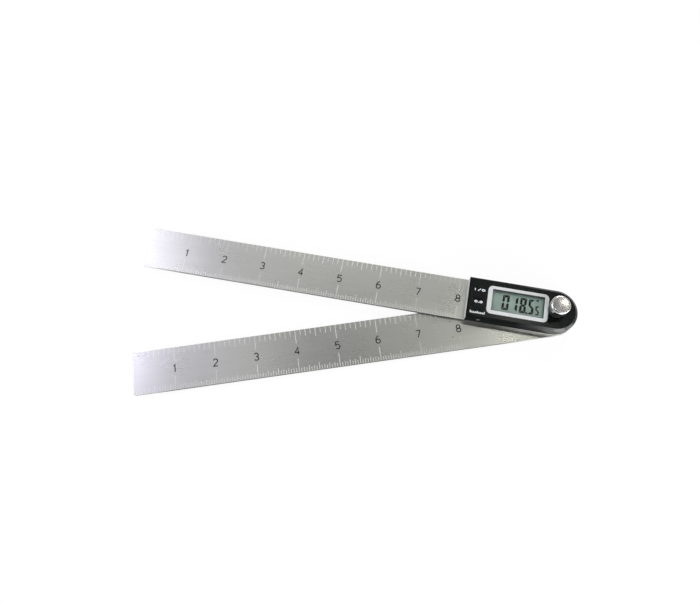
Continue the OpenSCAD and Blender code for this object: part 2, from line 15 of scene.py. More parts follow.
import bmesh
import bpy
from mathutils import Matrix, Vector
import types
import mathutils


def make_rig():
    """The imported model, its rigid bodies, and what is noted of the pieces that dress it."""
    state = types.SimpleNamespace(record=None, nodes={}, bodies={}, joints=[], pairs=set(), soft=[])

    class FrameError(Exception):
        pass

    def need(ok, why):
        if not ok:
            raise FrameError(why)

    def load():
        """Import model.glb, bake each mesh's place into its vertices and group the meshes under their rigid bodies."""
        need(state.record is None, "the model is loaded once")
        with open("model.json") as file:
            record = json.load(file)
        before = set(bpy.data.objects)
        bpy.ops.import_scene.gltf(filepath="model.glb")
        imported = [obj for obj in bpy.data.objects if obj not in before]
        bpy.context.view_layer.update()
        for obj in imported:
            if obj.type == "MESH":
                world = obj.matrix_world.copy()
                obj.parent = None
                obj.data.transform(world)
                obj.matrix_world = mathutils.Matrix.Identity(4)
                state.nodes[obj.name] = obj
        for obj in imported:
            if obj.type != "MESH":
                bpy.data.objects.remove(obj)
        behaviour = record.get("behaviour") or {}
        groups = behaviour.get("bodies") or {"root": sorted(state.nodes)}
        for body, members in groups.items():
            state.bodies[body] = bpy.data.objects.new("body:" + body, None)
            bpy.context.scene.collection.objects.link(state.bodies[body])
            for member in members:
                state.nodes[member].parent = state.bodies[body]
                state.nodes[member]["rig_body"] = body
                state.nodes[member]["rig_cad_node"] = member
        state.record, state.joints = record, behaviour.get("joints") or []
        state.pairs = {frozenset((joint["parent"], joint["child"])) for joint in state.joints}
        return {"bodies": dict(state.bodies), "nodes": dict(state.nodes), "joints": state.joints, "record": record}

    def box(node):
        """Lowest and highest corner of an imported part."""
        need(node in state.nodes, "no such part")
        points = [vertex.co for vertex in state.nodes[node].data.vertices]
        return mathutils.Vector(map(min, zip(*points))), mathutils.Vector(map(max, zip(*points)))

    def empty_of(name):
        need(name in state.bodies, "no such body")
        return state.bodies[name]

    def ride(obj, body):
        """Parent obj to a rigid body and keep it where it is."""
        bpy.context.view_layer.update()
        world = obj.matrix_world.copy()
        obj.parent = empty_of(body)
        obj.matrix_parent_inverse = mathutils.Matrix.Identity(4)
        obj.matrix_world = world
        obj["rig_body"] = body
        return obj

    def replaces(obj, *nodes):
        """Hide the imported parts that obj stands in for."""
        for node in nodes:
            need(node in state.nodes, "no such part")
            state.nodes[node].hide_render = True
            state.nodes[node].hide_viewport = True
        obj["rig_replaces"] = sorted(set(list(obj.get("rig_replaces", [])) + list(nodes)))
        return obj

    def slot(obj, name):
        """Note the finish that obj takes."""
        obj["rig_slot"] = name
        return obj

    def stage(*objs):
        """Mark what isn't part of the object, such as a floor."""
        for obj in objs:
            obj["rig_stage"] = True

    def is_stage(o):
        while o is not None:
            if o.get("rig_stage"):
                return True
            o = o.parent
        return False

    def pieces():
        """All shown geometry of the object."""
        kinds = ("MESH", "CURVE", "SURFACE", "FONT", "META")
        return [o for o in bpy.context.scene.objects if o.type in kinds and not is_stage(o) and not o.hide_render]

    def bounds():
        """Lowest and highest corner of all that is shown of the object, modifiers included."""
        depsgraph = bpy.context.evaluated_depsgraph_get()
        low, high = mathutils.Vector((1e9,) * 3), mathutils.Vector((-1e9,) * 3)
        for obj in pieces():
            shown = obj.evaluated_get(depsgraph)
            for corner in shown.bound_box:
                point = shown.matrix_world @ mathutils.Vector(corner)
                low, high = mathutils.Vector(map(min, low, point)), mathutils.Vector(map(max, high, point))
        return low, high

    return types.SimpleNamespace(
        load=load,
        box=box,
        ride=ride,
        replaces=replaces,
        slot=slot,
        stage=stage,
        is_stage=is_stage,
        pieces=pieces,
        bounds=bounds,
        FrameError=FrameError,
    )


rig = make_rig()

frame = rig.load()
log = logging.getLogger("angle_finder")

MM = 0.001
EDGE_ANGLE = math.radians(32)  # sharper edges than this are rounded or split
WALL_RISE = 0.5  # a face whose normal rises less than this is a wall
Colour = tuple[float, float, float]
Point2 = tuple[float, float]


class Body(Enum):
    """The moving groups that a piece can ride on."""

    LOWER_ARM = "lower_arm_unit"
    UPPER_ARM = "upper_arm_unit"
    CELL_DOOR = "cell_door"
    POWER_KEY = "power_key"
    ZERO_KEY = "zero_key"
    KNOB = "clamp_knob"


class ArmEdge(Enum):
    """The two long edges of an arm: outer is towards +v."""

    TOP = 1
    BOTTOM = -1


def write_size(name: str) -> None:
    """Args:
        name: The key that the two corners are stored under.
    """
    path = "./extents.json"
    sizes = {} if name == "cad" else json.load(open(path))
    lo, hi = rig.bounds()
    sizes[name] = [list(lo), list(hi)]
    with open(path, "w") as out:
        json.dump(sizes, out, indent=1)


# ---- Places ----


@dataclass(frozen=True)
class ArmFrame:
    """Maps an arm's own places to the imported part's frame.

    u is the distance from the pivot along the arm, v is sideways, z is the height.
    """

    turn: float
    body: Body

    def point(self, u: float, v: float, z: float) -> Vector:
        """Returns the place in metres of (u, v, z) in millimetres."""
        c, s = math.cos(self.turn), math.sin(self.turn)
        return Vector((-u * c + v * s, u * s + v * c, z)) * MM

    def to_uv(self, place: Vector) -> tuple[float, float]:
        """Returns (u, v) in millimetres of a place in metres."""
        c, s = math.cos(self.turn), math.sin(self.turn)
        x, y = place.x / MM, place.y / MM
        return -(x * c - y * s), x * s + y * c


# ---- Node materials ----


class Graph:
    """A small builder for one node material."""

    def __init__(self, name: str) -> None:
        """Starts an empty material whose output is ready to be fed."""
        self.material = bpy.data.materials.new(name)
        self.material.use_nodes = True
        self.tree = self.material.node_tree
        self.tree.nodes.clear()
        self.output = self.tree.nodes.new("ShaderNodeOutputMaterial")

    def node(self, kind: str, inputs: dict | None = None, **settings: object) -> bpy.types.Node:
        """Adds a node.

        Args:
            kind: The node's type name.
            inputs: Values or sockets for its inputs, by name or number.
            **settings: Properties set on the node itself.

        Returns:
            The new node.
        """
        made = self.tree.nodes.new(kind)
        for key, value in settings.items():
            setattr(made, key, value)
        for key, value in (inputs or {}).items():
            self.feed(made, key, value)
        return made

    def feed(self, made: bpy.types.Node, key: str | int, value: object) -> None:
        """Links a socket or sets a value on one input of a node."""
        socket = made.inputs[key]
        if isinstance(value, bpy.types.NodeSocket):
            self.tree.links.new(value, socket)
        elif isinstance(value, tuple) and len(value) == 3 and socket.type == "RGBA":
            socket.default_value = (*value, 1.0)
        else:
            socket.default_value = value

    def place(self, scale: Sequence[float] = (1, 1, 1), turn: float = 0.0) -> bpy.types.NodeSocket:
        """Returns object coordinates in millimetres, turned about Z and then scaled."""
        coords = self.node("ShaderNodeTexCoord")
        spin = self.node("ShaderNodeMapping", {0: coords.outputs["Object"], "Rotation": (0, 0, turn)})
        stretch = tuple(1000 * s for s in scale)
        return self.node("ShaderNodeMapping", {0: spin.outputs[0], "Scale": stretch}).outputs[0]

    def noise(self, place: bpy.types.NodeSocket, scale: float, detail: float = 3.0,
              rough: float = 0.55) -> bpy.types.NodeSocket:
        """Returns noise of about 0 to 1, with its feature size set by scale per millimetre."""
        made = self.node("ShaderNodeTexNoise", {"Vector": place, "Scale": scale, "Detail": detail,
                                                "Roughness": rough})
        return made.outputs[0]

    def span(self, value: bpy.types.NodeSocket, lo: float, hi: float, out_lo: float,
             out_hi: float) -> bpy.types.NodeSocket:
        """Maps a value from one range to another and clamps it."""
        made = self.node("ShaderNodeMapRange", {0: value, 1: lo, 2: hi, 3: out_lo, 4: out_hi})
        return made.outputs[0]

    def math(self, operation: str, a: object, b: object = 0.0) -> bpy.types.NodeSocket:
        """Returns one arithmetic step."""
        return self.node("ShaderNodeMath", {0: a, 1: b}, operation=operation).outputs[0]

    def mix(self, share: object, a: object, b: object) -> bpy.types.NodeSocket:
        """Returns a colour between a and b."""
        return self.node("ShaderNodeMix", {0: share, 6: a, 7: b}, data_type="RGBA").outputs[2]

    def blend(self, share: object, a: bpy.types.Node, b: bpy.types.Node) -> bpy.types.NodeSocket:
        """Returns a shader between those of two nodes."""
        inputs = {0: share, 1: a.outputs[0], 2: b.outputs[0]}
        return self.node("ShaderNodeMixShader", inputs).outputs[0]

    def bump(self, height: bpy.types.NodeSocket, strength: float, depth: float) -> bpy.types.NodeSocket:
        """Returns a normal bent by a height, whose full swing is depth millimetres."""
        made = self.node("ShaderNodeBump", {"Strength": strength, "Distance": depth * MM,
                                            "Height": height})
        return made.outputs[0]

    def surface(self, **inputs: object) -> bpy.types.Node:
        """Adds the main shader; input names use _ for spaces."""
        named = {key.replace("_", " "): value for key, value in inputs.items()}
        return self.node("ShaderNodeBsdfPrincipled", named)

    def finish(self, shader: bpy.types.NodeSocket) -> bpy.types.Material:
        """Feeds the output and returns the material."""
        self.tree.links.new(shader, self.output.inputs["Surface"])
        return self.material


@dataclass(frozen=True)
class BrushedSteelFinish:
    """Steel with a fine grain along one direction, handling smudges and faint scratches."""

    name: str
    grain_turn: float = 0.0
    light: Colour = (0.612, 0.616, 0.592)
    dark: Colour = (0.540, 0.544, 0.522)
    rough: float = 0.28
    grain_depth: float = 0.002

    def build(self) -> bpy.types.Material:
        """Returns the node material."""
        g = Graph(self.name)
        grain_place = g.place((0.05, 5.0, 5.0), self.grain_turn)
        grain = g.noise(grain_place, 1.0, 5.0, 0.65)
        streak = g.noise(g.place((0.012, 1.3, 1.3), self.grain_turn), 1.0, 3.0)
        smudge = g.noise(g.place(), 0.045, 3.0)
        scratch_place = g.place((0.02, 1.4, 1.4), self.grain_turn + 0.22)
        scratch = g.span(g.noise(scratch_place, 1.0, 2.0), 0.70, 0.76, 0.0, 1.0)
        tone = g.math("ADD", g.math("MULTIPLY", grain, 0.55), g.math("MULTIPLY", streak, 0.45))
        colour = g.mix(g.span(tone, 0.32, 0.68, 0.0, 1.0), self.dark, self.light)
        colour = g.mix(g.math("MULTIPLY", scratch, 0.12), colour, (0.74, 0.74, 0.73))
        rough = g.math("ADD", g.span(smudge, 0.30, 0.70, self.rough - 0.012, self.rough + 0.018),
                       g.span(grain, 0.3, 0.7, -0.012, 0.012))
        normal = g.bump(grain, 0.14, self.grain_depth)
        shader = g.surface(Base_Color=colour, Metallic=1.0, Roughness=rough, Normal=normal)
        return g.finish(shader.outputs[0])


@dataclass(frozen=True)
class MachinedFinish:
    """Turned, stamped or plated metal with a fine even grain and cloudy patches."""

    name: str
    light: Colour
    dark: Colour
    rough: float
    grain: float = 2.2
    depth: float = 0.003

    def build(self) -> bpy.types.Material:
        """Returns the node material."""
        g = Graph(self.name)
        place = g.place()
        grain = g.noise(place, self.grain, 5.0, 0.65)
        patch = g.noise(place, 0.25, 2.0)
        tone = g.math("ADD", g.math("MULTIPLY", grain, 0.6), g.math("MULTIPLY", patch, 0.4))
        colour = g.mix(g.span(tone, 0.35, 0.65, 0.0, 1.0), self.dark, self.light)
        rough = g.span(patch, 0.3, 0.7, self.rough * 0.8, self.rough * 1.25)
        normal = g.bump(grain, 0.4, self.depth)
        shader = g.surface(Base_Color=colour, Metallic=1.0, Roughness=rough, Normal=normal)
        return g.finish(shader.outputs[0])


@dataclass(frozen=True)
class EdgeFinish:
    """Sheared edge of an arm: dark along its length, which is painted shade, and light near the pivot and the tip,
    which is a painted highlight.
    """

    name: str
    turn: float = 0.0
    # Painted shade: this dark colour along the edge stands in for the shade that falls on it.
    painted_shade: Colour = (0.22, 0.22, 0.215)
    # Painted highlight: this light colour near the pivot and the tip stands in for reflected light.
    painted_highlight: Colour = (0.86, 0.86, 0.84)
    rough: float = 0.40
    pivot_from: float = 18.0
    pivot_to: float = 34.0
    tip_from: float = 236.0
    tip_to: float = 256.0

    def build(self) -> bpy.types.Material:
        """Returns the node material."""
        g = Graph(self.name)
        place = g.place((1, 1, 1), self.turn)
        grain = g.noise(place, 3.0, 5.0, 0.65)
        along = g.node("ShaderNodeSeparateXYZ", {0: place}).outputs[0]
        # Painted highlight: the share of the light colour rises towards the pivot and the tip.
        near = g.span(along, -self.pivot_to, -self.pivot_from, 0.0, 1.0)
        far = g.span(along, -self.tip_to, -self.tip_from, 1.0, 0.0)
        painted_highlight_share = g.math("MAXIMUM", near, far)
        colour = g.mix(painted_highlight_share, self.painted_shade, self.painted_highlight)
        colour = g.mix(g.span(grain, 0.40, 0.70, 0.0, 0.35), colour, (0.16, 0.16, 0.155))
        rough = g.span(grain, 0.3, 0.7, self.rough - 0.04, self.rough + 0.06)
        shader = g.surface(Base_Color=colour, Metallic=1.0, Roughness=rough,
                           Normal=g.bump(grain, 0.4, 0.003))
        return g.finish(shader.outputs[0])


@dataclass(frozen=True)
class PlasticFinish:
    """Moulded plastic or rubber with a fine texture, a colour drift and faint scuffs."""

    name: str
    base: Colour
    drift: Colour
    rough: float = 0.35
    texture: float = 5.0
    depth: float = 0.006
    specular: float = 0.5

    def build(self) -> bpy.types.Material:
        """Returns the node material."""
        g = Graph(self.name)
        place = g.place()
        fine = g.noise(place, self.texture, 4.0, 0.6)
        cloud = g.noise(place, 0.16, 3.0)
        scuff = g.span(g.noise(g.place((0.6, 4.0, 2.0), 0.5), 1.0, 3.0), 0.62, 0.74, 0.0, 0.10)
        colour = g.mix(g.span(cloud, 0.35, 0.65, 0.0, 1.0), self.base, self.drift)
        rough = g.math("ADD", g.span(fine, 0.3, 0.7, self.rough - 0.05, self.rough + 0.05), scuff)
        normal = g.bump(fine, 0.35, self.depth)
        shader = g.surface(Base_Color=colour, Roughness=rough, Normal=normal,
                           Specular_IOR_Level=self.specular)
        return g.finish(shader.outputs[0])


@dataclass(frozen=True)
class HousingFinish:
    """Black moulded plastic: polished on top and round the pivot, satin along the sides."""

    name: str
    turn: float
    base: Colour = (0.0022, 0.0034, 0.0030)
    drift: Colour = (0.0040, 0.0056, 0.0052)
    gloss: float = 0.20
    satin: float = 0.45
    polished_to: float = 4.0
    satin_from: float = 24.0

    def build(self) -> bpy.types.Material:
        """Returns the node material."""
        g = Graph(self.name)
        place = g.place((1, 1, 1), self.turn)
        fine = g.noise(place, 4.5, 4.0, 0.6)
        cloud = g.noise(place, 0.16, 3.0)
        colour = g.mix(g.span(cloud, 0.35, 0.65, 0.0, 1.0), self.base, self.drift)
        along = g.node("ShaderNodeSeparateXYZ", {0: place}).outputs[0]
        far = g.span(along, -self.satin_from, -self.polished_to, 1.0, 0.0)
        rise = g.node("ShaderNodeSeparateXYZ", {0: g.node("ShaderNodeNewGeometry").outputs["Normal"]})
        side = g.span(rise.outputs[2], 0.78, 0.95, 1.0, 0.0)
        matt = g.math("MULTIPLY", far, side)
        rough = g.math("ADD", g.span(matt, 0.0, 1.0, self.gloss, self.satin),
                       g.span(fine, 0.3, 0.7, -0.03, 0.03))
        shader = g.surface(Base_Color=colour, Roughness=rough, Normal=g.bump(fine, 0.35, 0.003),
                           Specular_IOR_Level=g.span(matt, 0.0, 1.0, 0.27, 0.03))
        return g.finish(shader.outputs[0])


@dataclass(frozen=True)
class ClearFinish:
    """A thin clear sheet: it lets light through and mirrors it at its face."""

    name: str
    tint: Colour = (0.985, 0.992, 0.988)
    rough: float = 0.04

    def build(self) -> bpy.types.Material:
        """Returns the node material."""
        g = Graph(self.name)
        haze = g.noise(g.place((0.5, 0.5, 0.5)), 0.6, 4.0)
        clear = g.node("ShaderNodeBsdfTransparent", {"Color": self.tint})
        rough = g.span(haze, 0.3, 0.7, self.rough, self.rough + 0.03)
        gloss = g.node("ShaderNodeBsdfGlossy", {"Color": (1.0, 1.0, 1.0), "Roughness": rough})
        facing = g.node("ShaderNodeFresnel", {"IOR": 1.38})
        share = g.math("MULTIPLY", facing.outputs[0], g.span(haze, 0.3, 0.7, 0.75, 1.0))
        return g.finish(g.blend(share, clear, gloss))


@dataclass(frozen=True)
class BoardFinish:
    """A circuit board: green lacquer over copper tracks."""

    name: str

    def build(self) -> bpy.types.Material:
        """Returns the node material."""
        g = Graph(self.name)
        place = g.place()
        tracks = g.node("ShaderNodeTexBrick", {"Vector": place, "Scale": 0.8, "Mortar Size": 0.03,
                                               "Color1": (0.0, 0.0, 0.0), "Color2": (0.0, 0.0, 0.0),
                                               "Mortar": (1.0, 1.0, 1.0)})
        weave = g.noise(place, 6.0, 3.0)
        lacquer = g.mix(g.span(weave, 0.3, 0.7, 0.0, 1.0), (0.010, 0.115, 0.038), (0.018, 0.150, 0.052))
        colour = g.mix(g.math("MULTIPLY", tracks.outputs[0], 0.5), lacquer, (0.05, 0.26, 0.09))
        normal = g.bump(tracks.outputs[0], 0.6, 0.03)
        shader = g.surface(Base_Color=colour, Roughness=0.32, Normal=normal, Coat_Weight=0.4)
        return g.finish(shader.outputs[0])


@dataclass(frozen=True)
class DisplayFinish:
    """The display's glass: greenish grey polariser over a matt reflector."""

    name: str
    light: Colour = (0.715, 0.905, 0.805)
    dark: Colour = (0.625, 0.800, 0.712)

    def build(self) -> bpy.types.Material:
        """Returns the node material."""
        g = Graph(self.name)
        sheen = g.noise(g.place((0.2, 0.2, 0.2)), 0.35, 2.0)
        grit = g.noise(g.place(), 12.0, 2.0)
        tone = g.math("ADD", g.math("MULTIPLY", sheen, 0.7), g.math("MULTIPLY", grit, 0.3))
        colour = g.mix(g.span(tone, 0.35, 0.65, 0.0, 1.0), self.dark, self.light)
        rough = g.span(grit, 0.3, 0.7, 0.30, 0.40)
        shader = g.surface(Base_Color=colour, Roughness=rough, Specular_IOR_Level=0.35)
        return g.finish(shader.outputs[0])


@dataclass(frozen=True)
class InkFinish:
    """Ink, paint or an etched line: matt, and thinner in places."""

    name: str
    base: Colour
    worn: Colour
    rough: float = 0.6
    specular: float = 0.25
    wear_scale: float = 2.5

    def build(self) -> bpy.types.Material:
        """Returns the node material."""
        g = Graph(self.name)
        patch = g.noise(g.place(), self.wear_scale, 4.0, 0.65)
        colour = g.mix(g.span(patch, 0.45, 0.70, 0.0, 1.0), self.base, self.worn)
        rough = g.span(patch, 0.3, 0.7, self.rough - 0.08, self.rough + 0.08)
        shader = g.surface(Base_Color=colour, Roughness=rough, Specular_IOR_Level=self.specular)
        return g.finish(shader.outputs[0])


@dataclass(frozen=True)
class FloorFinish:
    """The studio's white floor: it keeps shadows and reads as white to the camera."""

    name: str = "floor_white"
    white: Colour = (0.97, 0.97, 0.97)
    lift: float = 0.93

    def build(self) -> bpy.types.Material:
        """Returns the node material."""
        g = Graph(self.name)
        cloud = g.noise(g.place((0.01, 0.01, 0.01)), 0.5, 2.0)
        tone = g.mix(g.span(cloud, 0.3, 0.7, 0.0, 1.0), self.white, (0.95, 0.95, 0.95))
        matt = g.node("ShaderNodeBsdfDiffuse", {"Color": tone})
        glow = g.node("ShaderNodeEmission", {"Color": (1.0, 1.0, 1.0), "Strength": 1.0})
        path = g.node("ShaderNodeLightPath")
        seen = g.math("MULTIPLY", path.outputs["Is Camera Ray"], self.lift)
        return g.finish(g.blend(seen, matt, glow))


@dataclass
class Finishes:
    """Every material of the object, built once."""

    opening: float
    made: dict[str, bpy.types.Material] = field(default_factory=dict)

    def __post_init__(self) -> None:
        """Builds the materials."""
        for finish in (
            # The lower arm's steel takes darker colours than the same steel on the upper arm: painted shade.
            BrushedSteelFinish("steel_lower", 0.0, (0.570, 0.574, 0.552), (0.505, 0.509, 0.488)),
            BrushedSteelFinish("steel_upper", self.opening),
            # Edge finishes of the arms: painted shade along the edges, painted highlight near the pivot and the tip.
            EdgeFinish("edge_lower"),
            EdgeFinish("edge_upper", self.opening),
            MachinedFinish("turned_steel", (0.60, 0.60, 0.61), (0.46, 0.46, 0.47), 0.28),
            MachinedFinish("screw_steel", (0.62, 0.62, 0.63), (0.44, 0.44, 0.45), 0.30, 4.0),
            MachinedFinish("bush_bronze", (0.62, 0.42, 0.18), (0.45, 0.29, 0.12), 0.30),
            MachinedFinish("contact_brass", (0.78, 0.60, 0.28), (0.62, 0.46, 0.20), 0.26),
            MachinedFinish("cell_steel", (0.70, 0.70, 0.71), (0.58, 0.58, 0.60), 0.20),
            MachinedFinish("can_metal", (0.72, 0.72, 0.73), (0.60, 0.60, 0.62), 0.22),
            MachinedFinish("stator_copper", (0.80, 0.42, 0.22), (0.64, 0.32, 0.17), 0.32),
            MachinedFinish("knob_chrome", (0.84, 0.82, 0.805), (0.62, 0.605, 0.59), 0.20, 1.1, 0.0002),
            HousingFinish("housing_black", self.opening),
            # Pale grey for the housing's square end: a painted reflection on the black end wall.
            PlasticFinish("end_face_grey", (0.62, 0.61, 0.62), (0.70, 0.69, 0.70), 0.42, 6.0),
            PlasticFinish("tray_black", (0.014, 0.014, 0.015), (0.020, 0.020, 0.022), 0.5),
            PlasticFinish("cover_black", (0.012, 0.012, 0.013), (0.018, 0.018, 0.019), 0.42, 6.0, 0.01),
            PlasticFinish("button_black", (0.0030, 0.0036, 0.0045), (0.0050, 0.0056, 0.0070), 0.30, 5.0,
                          specular=0.16),
            PlasticFinish("bezel_grey", (0.575, 0.597, 0.595), (0.630, 0.650, 0.646), 0.38, 6.0, 0.003),
            # Black for the walls of the display's opening and the strips round it: painted shade.
            PlasticFinish("mask_black", (0.010, 0.011, 0.011), (0.016, 0.017, 0.017), 0.6),
            PlasticFinish("dark_fibre", (0.020, 0.020, 0.022), (0.034, 0.034, 0.036), 0.6, 3.0, 0.01),
            PlasticFinish("strip_rubber", (0.52, 0.14, 0.11), (0.60, 0.18, 0.15), 0.6),
            PlasticFinish("knob_black", (0.008, 0.008, 0.009), (0.012, 0.012, 0.013), 0.45, 6.0),
            PlasticFinish("chip_black", (0.012, 0.012, 0.013), (0.018, 0.018, 0.019), 0.5, 8.0),
            PlasticFinish("capacitor_tan", (0.38, 0.27, 0.15), (0.46, 0.34, 0.20), 0.4),
            ClearFinish("window_clear"),
            BoardFinish("board_green"),
            DisplayFinish("display_grey"),
            InkFinish("segment_ink", (0.0030, 0.0045, 0.0040), (0.0060, 0.0080, 0.0070), 0.5, 0.1),
            InkFinish("numeral_ink", (0.020, 0.020, 0.020), (0.070, 0.070, 0.068), 0.55),
            InkFinish("tick_etch", (0.71, 0.71, 0.695), (0.56, 0.56, 0.545), 0.55, 0.3, 0.9),
            InkFinish("label_white", (0.88, 0.90, 0.93), (0.74, 0.76, 0.80), 0.5),
        ):
            self.made[finish.name] = finish.build()

    def __getitem__(self, name: str) -> bpy.types.Material:
        """Returns a material by its name."""
        return self.made[name]


# ---- Making and dressing pieces ----


class Bench:
    """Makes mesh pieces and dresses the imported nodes."""

    def __init__(self, finishes: Finishes) -> None:
        """Keeps the materials at hand."""
        self.finishes = finishes

    def dress(self, node: str, finish: str, bevel: float = 0.0, segments: int = 3) -> bpy.types.Object:
        """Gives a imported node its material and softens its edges.

        Args:
            node: The node's name.
            finish: The material's name.
            bevel: Width of the edge rounding in millimetres, or 0 for none.
            segments: Steps across that rounding.

        Returns:
            The node's object.
        """
        made = frame["nodes"][node]
        made.data.materials.clear()
        made.data.materials.append(self.finishes[finish])
        made.data.shade_smooth()
        if bevel:
            rounding = made.modifiers.new("edge_rounding", "BEVEL")
            rounding.width = bevel * MM
            rounding.segments = segments
            rounding.limit_method = "ANGLE"
            rounding.angle_limit = EDGE_ANGLE
            rounding.harden_normals = True
            rounding.use_clamp_overlap = True
        else:
            made.modifiers.new("edge_split", "EDGE_SPLIT").split_angle = EDGE_ANGLE
        log.info("dressed %s in %s", node, finish)
        return made

    def mesh(self, name: str, build: bmesh.types.BMesh, finish: str, body: Body,
             smooth: bool = False) -> bpy.types.Object:
        """Turns a bmesh into a piece that rides on a body."""
        data = bpy.data.meshes.new(name)
        bmesh.ops.recalc_face_normals(build, faces=build.faces)
        build.to_mesh(data)
        build.free()
        made = bpy.data.objects.new(name, data)
        bpy.context.scene.collection.objects.link(made)
        data.materials.append(self.finishes[finish])
        if smooth:
            data.shade_smooth()
        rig.ride(made, body.value)
        log.info("made %s in %s on %s", name, finish, body.value)
        return made


def add_prism(build: bmesh.types.BMesh, outline: Iterable[Vector], height: float) -> None:
    """Adds a thin closed prism on a flat outline.

    Args:
        build: The bmesh that takes the prism.
        outline: The lower corners, in metres, in order round the outline.
        height: How far the prism rises, in millimetres.
    """
    lower = [build.verts.new(p) for p in outline]
    upper = [build.verts.new(v.co + Vector((0, 0, height * MM))) for v in lower]
    build.faces.new(list(reversed(lower)))
    build.faces.new(upper)
    for i, v in enumerate(lower):
        j = (i + 1) % len(lower)
        build.faces.new((v, lower[j], upper[j], upper[i]))


def add_stroke(build: bmesh.types.BMesh, where: ArmFrame, path: Sequence[Point2], width: float,
               z: float, height: float) -> None:
    """Adds a ribbon of even width along a path of (u, v) places.

    Args:
        build: The bmesh that takes the ribbon.
        where: The arm's frame.
        path: The places of the middle line, in millimetres.
        width: The ribbon's width.
        z: Height of its underside.
        height: Its thickness.
    """
    closed = math.dist(path[0], path[-1]) < 1e-6
    points = list(path[:-1]) if closed else list(path)
    count = len(points)
    left, right = [], []
    for i, (u, v) in enumerate(points):
        before = points[i - 1] if closed or i else None
        after = points[(i + 1) % count] if closed or i < count - 1 else None
        steps = []
        if before is not None:
            steps.append(Vector((u - before[0], v - before[1])).normalized())
        if after is not None:
            steps.append(Vector((after[0] - u, after[1] - v)).normalized())
        along = sum(steps, Vector((0, 0))).normalized()
        across = Vector((-along.y, along.x))
        square = Vector((-steps[0].y, steps[0].x))
        reach = width / 2 / max(0.45, across.dot(square))
        left.append((u + across.x * reach, v + across.y * reach))
        right.append((u - across.x * reach, v - across.y * reach))
    rows = [[build.verts.new(where.point(p[0], p[1], h)) for p in side]
            for side in (left, right) for h in (z, z + height)]
    left_low, left_high, right_low, right_high = rows
    last = count if closed else count - 1
    for i in range(last):
        j = (i + 1) % count
        build.faces.new((left_high[i], left_high[j], right_high[j], right_high[i]))
        build.faces.new((left_low[i], right_low[i], right_low[j], left_low[j]))
        build.faces.new((left_low[i], left_low[j], left_high[j], left_high[i]))
        build.faces.new((right_low[i], right_high[i], right_high[j], right_low[j]))
    if not closed:
        for i in (0, count - 1):
            build.faces.new((left_low[i], left_high[i], right_high[i], right_low[i]))


def arc(cx: float, cy: float, rx: float, ry: float, start: float, end: float,
        steps: int = 14) -> list[Point2]:
    """Returns points on an ellipse's arc between two angles in degrees."""
    turns = [math.radians(start + (end - start) * i / steps) for i in range(steps + 1)]
    return [(cx + rx * math.cos(t), cy + ry * math.sin(t)) for t in turns]


@dataclass(frozen=True)
class Numerals:
    """Plain numerals drawn with strokes, in a box of height 1 and width 0.62 about its middle."""

    half: float = 0.31
    stroke: float = 0.135

    def paths(self, digit: int) -> list[list[Point2]]:
        """Returns the strokes of one digit."""
        w, e = self.half - self.stroke / 2, 0.5 - self.stroke / 2
        small = (e + 0.02) / 2
        upper, lower = e - small, small - e
        return {
            0: [arc(0, 0, w, e, 90, 450, 28)],
            1: [[(-0.12, e - 0.17), (0.05, e), (0.05, -e)]],
            2: [arc(0, upper, w, small, 165, -42) + [(-w, -e), (w, -e)]],
            3: [arc(0, upper, w * 0.92, small, 150, -90) + [(-0.02, 0.0)],
                arc(0, lower, w, small, 90, -150)],
            4: [[(0.12, -e), (0.12, e), (-w, -0.17), (w + 0.03, -0.17)]],
            5: [[(w * 0.9, e), (-w * 0.8, e), (-w * 0.9, 0.04)]
                + arc(0, -0.15, w, e - 0.15, 125, -140)],
            6: [arc(0.06, -0.10, w + 0.06, e + 0.10, 78, 180, 8)[:-1]
                + arc(0, lower + 0.03, w, small + 0.03, 180, 540, 24)],
            7: [[(-w, e), (w, e), (-0.06, -e)]],
            8: [arc(0, upper, w * 0.86, small, 90, 450, 22), arc(0, lower, w, small, 90, 450, 24)],
            9: [arc(0, upper - 0.03, w, small + 0.03, 0, 360, 24)
                + arc(-0.06, 0.10, w + 0.06, e + 0.10, 0, -102, 8)[1:]],
        }[digit]

    def draw(self, build: bmesh.types.BMesh, where: ArmFrame, digit: int, u: float, v: float,
             size: Point2, z: float, height: float) -> None:
        """Draws a digit upright at (u, v): its right hand side points to the pivot.

        Args:
            build: The bmesh that takes the strokes.
            where: The arm's frame.
            digit: 0 to 9.
            u: Place of the digit's middle along the arm.
            v: Place of the digit's middle across the arm.
            size: Width factor and height in millimetres.
            z: Height of the strokes' underside.
            height: Thickness of the strokes.
        """
        for path in self.paths(digit):
            placed = [(u - x * size[0], v + y * size[1]) for x, y in path]
            add_stroke(build, where, placed, self.stroke * size[1], z, height)


# ---- The arms ----


@dataclass(frozen=True)
class ScaleSizes:
    """Sizes of an arm's graduations, in millimetres."""

    arm_length: float = 262.8
    half_width: float = 13.5
    inch: float = 25.4
    inches: int = 8
    line_width: float = 0.31
    proud: float = 0.012
    edge_gap: float = 0.05
    coarse_steps: int = 8
    fine_steps: int = 16
    coarse_lengths: tuple[float, ...] = (3.6, 4.3, 5.2)
    fine_lengths: tuple[float, ...] = (2.4, 3.0, 3.6, 4.6)
    inch_length: float = 8.8
    numeral: Point2 = (5.4, 5.2)
    dot_u: float = 64.1
    dot_v: float = 5.1
    dot_radius: float = 0.36


